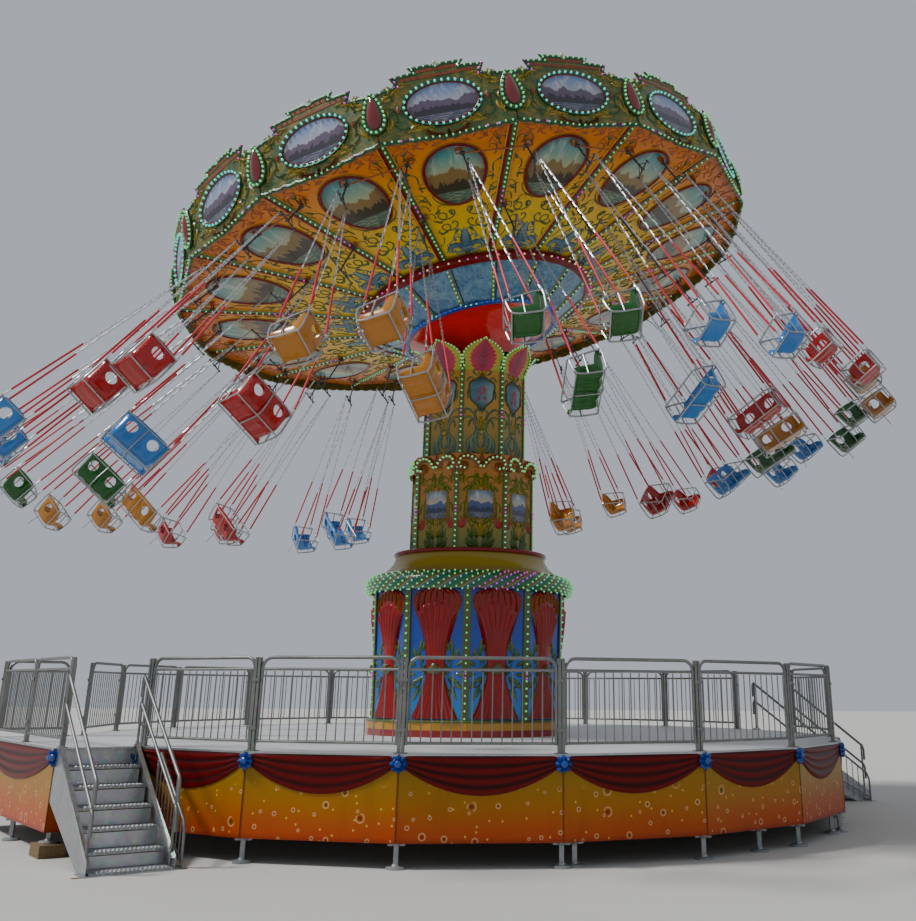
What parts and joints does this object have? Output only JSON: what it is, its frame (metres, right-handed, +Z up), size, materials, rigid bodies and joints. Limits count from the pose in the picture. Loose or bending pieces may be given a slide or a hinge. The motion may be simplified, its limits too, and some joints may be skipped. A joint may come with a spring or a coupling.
{
  "type": "chair swing ride",
  "caption": "Fairground chair swing ride: round fenced platform, ornate tower, tilted crown with picture panels and chairs flung out on chains.",
  "frame": {"origin": "on the mast's axis at ground level", "axes": "+Z up, -Y towards the front that the picture shows, +X to the right"},
  "size_m": [15.8222, 16.2798, 11.763],
  "materials": {
    "dark_steel": "dark semi-gloss paint",
    "deck_aluminium": "chequer plate",
    "timber": "raw, weathered",
    "stair_aluminium": "serrated bright nosings",
    "fence_steel": "galvanised",
    "skirt_yellow": "airbrushed gloss",
    "yellow_trim": "gloss",
    "drum_blue": "gloss fibreglass",
    "olive_gold": "airbrushed gloss",
    "tower_orange": "airbrushed gloss",
    "tower_olive": "airbrushed gloss",
    "crown_yellow": "airbrushed gloss",
    "disc_blue": "gloss",
    "bell_red": "high gloss",
    "roof_cover": "plain cover",
    "chair_blue": "moulded gloss",
    "chair_red": "moulded gloss",
    "chair_yellow": "moulded gloss",
    "chair_green": "moulded gloss"
  },
  "bodies": {
    "base": {"base_frame": "dark_steel", "deck": "deck_aluminium", "wood_block": "timber", "skirt_front": "skirt_yellow", "skirt_right": "skirt_yellow", "skirt_rear": "skirt_yellow", "skirt_landing": "skirt_yellow", "fence_front": "fence_steel", "fence_right": "fence_steel", "fence_rear": "fence_steel", "fence_landing": "fence_steel", "entry_stair": "stair_aluminium", "exit_stair": "stair_aluminium", "drum_base": "yellow_trim", "drum_wall": "drum_blue", "drum_cornice": "olive_gold", "mast_post": "dark_steel"},
    "mast": {"mast_sleeve": "dark_steel"},
    "tower": {"tower_lower": "tower_orange", "tower_upper": "tower_olive"},
    "tilt_head": {"tilt_head": "dark_steel"},
    "crown": {"crown_underside": "crown_yellow", "crown_disc": "disc_blue", "crown_bell": "bell_red", "rim_boards": "olive_gold", "crown_roof": "roof_cover"},
    "double_swing_01": {"double_swing_01": "chair_blue"},
    "double_swing_02": {"double_swing_02": "chair_red"},
    "double_swing_03": {"double_swing_03": "chair_yellow"},
    "double_swing_04": {"double_swing_04": "chair_green"},
    "double_swing_05": {"double_swing_05": "chair_blue"},
    "double_swing_06": {"double_swing_06": "chair_red"},
    "double_swing_07": {"double_swing_07": "chair_yellow"},
    "double_swing_08": {"double_swing_08": "chair_green"},
    "double_swing_09": {"double_swing_09": "chair_blue"},
    "double_swing_10": {"double_swing_10": "chair_red"},
    "double_swing_11": {"double_swing_11": "chair_yellow"},
    "double_swing_12": {"double_swing_12": "chair_green"},
    "double_swing_13": {"double_swing_13": "chair_blue"},
    "double_swing_14": {"double_swing_14": "chair_red"},
    "double_swing_15": {"double_swing_15": "chair_yellow"},
    "double_swing_16": {"double_swing_16": "chair_green"},
    "single_swings_01": {"single_swings_01": "chair_blue"},
    "single_swings_02": {"single_swings_02": "chair_red"},
    "single_swings_03": {"single_swings_03": "chair_yellow"},
    "single_swings_04": {"single_swings_04": "chair_green"},
    "single_swings_05": {"single_swings_05": "chair_blue"},
    "single_swings_06": {"single_swings_06": "chair_red"},
    "single_swings_07": {"single_swings_07": "chair_yellow"},
    "single_swings_08": {"single_swings_08": "chair_green"},
    "single_swings_09": {"single_swings_09": "chair_blue"},
    "single_swings_10": {"single_swings_10": "chair_red"},
    "single_swings_11": {"single_swings_11": "chair_yellow"},
    "single_swings_12": {"single_swings_12": "chair_green"},
    "single_swings_13": {"single_swings_13": "chair_blue"},
    "single_swings_14": {"single_swings_14": "chair_red"},
    "single_swings_15": {"single_swings_15": "chair_yellow"},
    "single_swings_16": {"single_swings_16": "chair_green"}
  },
  "joints": [
    {"name": "mast_lift", "type": "slide", "parent": "base", "child": "mast", "axis": [0, 0, 1], "range_m": [-2.2, 0]},
    {"name": "tower_spin", "type": "hinge", "parent": "mast", "child": "tower", "pos_m": [0, 0, 5], "axis": [0, 0, 1], "continuous": true},
    {"name": "crown_tilt", "type": "hinge", "parent": "mast", "child": "tilt_head", "pos_m": [0, 0, 8.6], "axis": [-0.3939, -0.9191, 0], "range_deg": [-13.5, 1.5]},
    {"name": "crown_spin", "type": "hinge", "parent": "tilt_head", "child": "crown", "pos_m": [-0.16093, 0.06897, 9.32928], "axis": [-0.2146, 0.092, 0.9724], "continuous": true},
    {"name": "single_swings_14_hang", "type": "hinge", "parent": "crown", "child": "single_swings_14", "pos_m": [-3.64055, 3.07269, 8.1231], "axis": [0.6382, 0.7668, 0.0683], "range_deg": [-60.22, 8]},
    {"name": "double_swing_01_hang", "type": "hinge", "parent": "crown", "child": "double_swing_01", "pos_m": [-2.93234, -1.75598, 8.49438], "axis": [-0.4993, 0.8453, -0.1901], "range_deg": [-46.8, 6.23]},
    {"name": "double_swing_02_hang", "type": "hinge", "parent": "crown", "child": "double_swing_02", "pos_m": [-2.06539, -2.71958, 8.77682], "axis": [-0.7826, 0.5795, -0.2275], "range_deg": [-39.36, 5.24]},
    {"name": "double_swing_03_hang", "type": "hinge", "parent": "crown", "child": "double_swing_03", "pos_m": [-0.89592, -3.26404, 9.08638], "axis": [-0.9466, 0.2255, -0.2302], "range_deg": [-31.59, 4.2]},
    {"name": "double_swing_04_hang", "type": "hinge", "parent": "crown", "child": "double_swing_04", "pos_m": [0.39802, -3.30647, 9.37592], "axis": [-0.9666, -0.1628, -0.1979], "range_deg": [-24.67, 3.29]},
    {"name": "double_swing_05_hang", "type": "hinge", "parent": "crown", "child": "double_swing_05", "pos_m": [1.61943, -2.84041, 9.60136], "axis": [-0.8394, -0.5263, -0.1355], "range_deg": [-19.66, 2.62]},
    {"name": "double_swing_06_hang", "type": "hinge", "parent": "crown", "child": "double_swing_06", "pos_m": [2.58239, -1.93681, 9.72839], "axis": [-0.5844, -0.8098, -0.0524], "range_deg": [-17.33, 2.31]},
    {"name": "double_swing_07_hang", "type": "hinge", "parent": "crown", "child": "double_swing_07", "pos_m": [3.14027, -0.73324, 9.73767], "axis": [-0.2405, -0.9699, 0.0387], "range_deg": [-18.02, 2.4]},
    {"name": "double_swing_08_hang", "type": "hinge", "parent": "crown", "child": "double_swing_08", "pos_m": [3.20815, 0.58707, 9.62777], "axis": [0.1401, -0.9824, 0.1238], "range_deg": [-21.63, 2.88]},
    {"name": "double_swing_09_hang", "type": "hinge", "parent": "crown", "child": "double_swing_09", "pos_m": [2.7757, 1.82312, 9.41545], "axis": [0.4993, -0.8453, 0.1901], "range_deg": [-27.62, 3.68]},
    {"name": "double_swing_10_hang", "type": "hinge", "parent": "crown", "child": "double_swing_10", "pos_m": [1.90875, 2.78672, 9.13301], "axis": [0.7826, -0.5795, 0.2275], "range_deg": [-35.06, 4.67]},
    {"name": "double_swing_11_hang", "type": "hinge", "parent": "crown", "child": "double_swing_11", "pos_m": [0.73929, 3.33118, 8.82345], "axis": [0.9466, -0.2255, 0.2302], "range_deg": [-42.83, 5.7]},
    {"name": "double_swing_12_hang", "type": "hinge", "parent": "crown", "child": "double_swing_12", "pos_m": [-0.55465, 3.37361, 8.53391], "axis": [0.9666, 0.1628, 0.1979], "range_deg": [-49.75, 6.62]},
    {"name": "double_swing_13_hang", "type": "hinge", "parent": "crown", "child": "double_swing_13", "pos_m": [-1.77607, 2.90754, 8.30847], "axis": [0.8394, 0.5263, 0.1355], "range_deg": [-54.76, 7.28]},
    {"name": "double_swing_14_hang", "type": "hinge", "parent": "crown", "child": "double_swing_14", "pos_m": [-2.73902, 2.00394, 8.18144], "axis": [0.5844, 0.8098, 0.0524], "range_deg": [-57.09, 7.59]},
    {"name": "double_swing_15_hang", "type": "hinge", "parent": "crown", "child": "double_swing_15", "pos_m": [-3.29691, 0.80037, 8.17216], "axis": [0.2405, 0.9699, -0.0387], "range_deg": [-56.4, 7.5]},
    {"name": "double_swing_16_hang", "type": "hinge", "parent": "crown", "child": "double_swing_16", "pos_m": [-3.36479, -0.51994, 8.28205], "axis": [-0.1401, 0.9824, -0.1238], "range_deg": [-52.79, 7.02]},
    {"name": "single_swings_01_hang", "type": "hinge", "parent": "crown", "child": "single_swings_01", "pos_m": [-4.27353, -2.15511, 8.47785], "axis": [-0.4388, 0.8804, -0.1801], "range_deg": [-51.41, 6.84]},
    {"name": "single_swings_02_hang", "type": "hinge", "parent": "crown", "child": "single_swings_02", "pos_m": [-3.16039, -3.58711, 8.85892], "axis": [-0.7393, 0.6353, -0.2232], "range_deg": [-44.19, 5.88]},
    {"name": "single_swings_03_hang", "type": "hinge", "parent": "crown", "child": "single_swings_03", "pos_m": [-1.58571, -4.46461, 9.28939], "axis": [-0.9273, 0.2935, -0.2324], "range_deg": [-36.43, 4.85]},
    {"name": "single_swings_04_hang", "type": "hinge", "parent": "crown", "child": "single_swings_04", "pos_m": [0.21079, -4.65402, 9.70373], "axis": [-0.9741, -0.093, -0.2062], "range_deg": [-29.31, 3.9]},
    {"name": "single_swings_05_hang", "type": "hinge", "parent": "crown", "child": "single_swings_05", "pos_m": [1.95559, -4.12649, 10.03885], "axis": [-0.8726, -0.4653, -0.1485], "range_deg": [-23.93, 3.19]},
    {"name": "single_swings_06_hang", "type": "hinge", "parent": "crown", "child": "single_swings_06", "pos_m": [3.38307, -2.96233, 10.24374], "axis": [-0.6382, -0.7668, -0.0683], "range_deg": [-21.09, 2.81]},
    {"name": "single_swings_07_hang", "type": "hinge", "parent": "crown", "child": "single_swings_07", "pos_m": [4.27591, -1.3388, 10.28721], "axis": [-0.3067, -0.9515, 0.0223], "range_deg": [-21.23, 2.83]},
    {"name": "single_swings_08_hang", "type": "hinge", "parent": "crown", "child": "single_swings_08", "pos_m": [4.49819, 0.49696, 10.16264], "axis": [0.0715, -0.9914, 0.1095], "range_deg": [-24.33, 3.24]},
    {"name": "single_swings_09_hang", "type": "hinge", "parent": "crown", "child": "single_swings_09", "pos_m": [4.01605, 2.26546, 9.88899], "axis": [0.4388, -0.8804, 0.1801], "range_deg": [-29.91, 3.98]},
    {"name": "single_swings_10_hang", "type": "hinge", "parent": "crown", "child": "single_swings_10", "pos_m": [2.90291, 3.69747, 9.50792], "axis": [0.7393, -0.6353, 0.2232], "range_deg": [-37.13, 4.94]},
    {"name": "single_swings_11_hang", "type": "hinge", "parent": "crown", "child": "single_swings_11", "pos_m": [1.32823, 4.57497, 9.07746], "axis": [0.9273, -0.2935, 0.2324], "range_deg": [-44.89, 5.97]},
    {"name": "single_swings_12_hang", "type": "hinge", "parent": "crown", "child": "single_swings_12", "pos_m": [-0.46827, 4.76437, 8.66312], "axis": [0.9741, 0.093, 0.2062], "range_deg": [-52.01, 6.92]},
    {"name": "single_swings_13_hang", "type": "hinge", "parent": "crown", "child": "single_swings_13", "pos_m": [-2.21307, 4.23684, 8.32799], "axis": [0.8726, 0.4653, 0.1485], "range_deg": [-57.39, 7.63]},
    {"name": "single_swings_15_hang", "type": "hinge", "parent": "crown", "child": "single_swings_15", "pos_m": [-4.53339, 1.44915, 8.07963], "axis": [0.3067, 0.9515, -0.0223], "range_deg": [-60.09, 7.99]},
    {"name": "single_swings_16_hang", "type": "hinge", "parent": "crown", "child": "single_swings_16", "pos_m": [-4.75567, -0.38661, 8.2042], "axis": [-0.0715, 0.9914, -0.1095], "range_deg": [-56.99, 7.58]}
  ],
  "couplings": [
    {"joint": "double_swing_01_hang", "follows": "single_swings_14_hang", "ratio": 0.77702},
    {"joint": "double_swing_02_hang", "follows": "single_swings_14_hang", "ratio": 0.65338},
    {"joint": "double_swing_03_hang", "follows": "single_swings_14_hang", "ratio": 0.52431},
    {"joint": "double_swing_04_hang", "follows": "single_swings_14_hang", "ratio": 0.40946},
    {"joint": "double_swing_05_hang", "follows": "single_swings_14_hang", "ratio": 0.32631},
    {"joint": "double_swing_06_hang", "follows": "single_swings_14_hang", "ratio": 0.28753},
    {"joint": "double_swing_07_hang", "follows": "single_swings_14_hang", "ratio": 0.29901},
    {"joint": "double_swing_08_hang", "follows": "single_swings_14_hang", "ratio": 0.35901},
    {"joint": "double_swing_09_hang", "follows": "single_swings_14_hang", "ratio": 0.4584},
    {"joint": "double_swing_10_hang", "follows": "single_swings_14_hang", "ratio": 0.58204},
    {"joint": "double_swing_11_hang", "follows": "single_swings_14_hang", "ratio": 0.71111},
    {"joint": "double_swing_12_hang", "follows": "single_swings_14_hang", "ratio": 0.82596},
    {"joint": "double_swing_13_hang", "follows": "single_swings_14_hang", "ratio": 0.90911},
    {"joint": "double_swing_14_hang", "follows": "single_swings_14_hang", "ratio": 0.94789},
    {"joint": "double_swing_15_hang", "follows": "single_swings_14_hang", "ratio": 0.93641},
    {"joint": "double_swing_16_hang", "follows": "single_swings_14_hang", "ratio": 0.87641},
    {"joint": "single_swings_01_hang", "follows": "single_swings_14_hang", "ratio": 0.85349},
    {"joint": "single_swings_02_hang", "follows": "single_swings_14_hang", "ratio": 0.73357},
    {"joint": "single_swings_03_hang", "follows": "single_swings_14_hang", "ratio": 0.60474},
    {"joint": "single_swings_04_hang", "follows": "single_swings_14_hang", "ratio": 0.4866},
    {"joint": "single_swings_05_hang", "follows": "single_swings_14_hang", "ratio": 0.39715},
    {"joint": "single_swings_06_hang", "follows": "single_swings_14_hang", "ratio": 0.35},
    {"joint": "single_swings_07_hang", "follows": "single_swings_14_hang", "ratio": 0.35232},
    {"joint": "single_swings_08_hang", "follows": "single_swings_14_hang", "ratio": 0.40377},
    {"joint": "single_swings_09_hang", "follows": "single_swings_14_hang", "ratio": 0.49651},
    {"joint": "single_swings_10_hang", "follows": "single_swings_14_hang", "ratio": 0.61643},
    {"joint": "single_swings_11_hang", "follows": "single_swings_14_hang", "ratio": 0.74526},
    {"joint": "single_swings_12_hang", "follows": "single_swings_14_hang", "ratio": 0.86339},
    {"joint": "single_swings_13_hang", "follows": "single_swings_14_hang", "ratio": 0.95285},
    {"joint": "single_swings_15_hang", "follows": "single_swings_14_hang", "ratio": 0.99767},
    {"joint": "single_swings_16_hang", "follows": "single_swings_14_hang", "ratio": 0.94623}
  ]
}
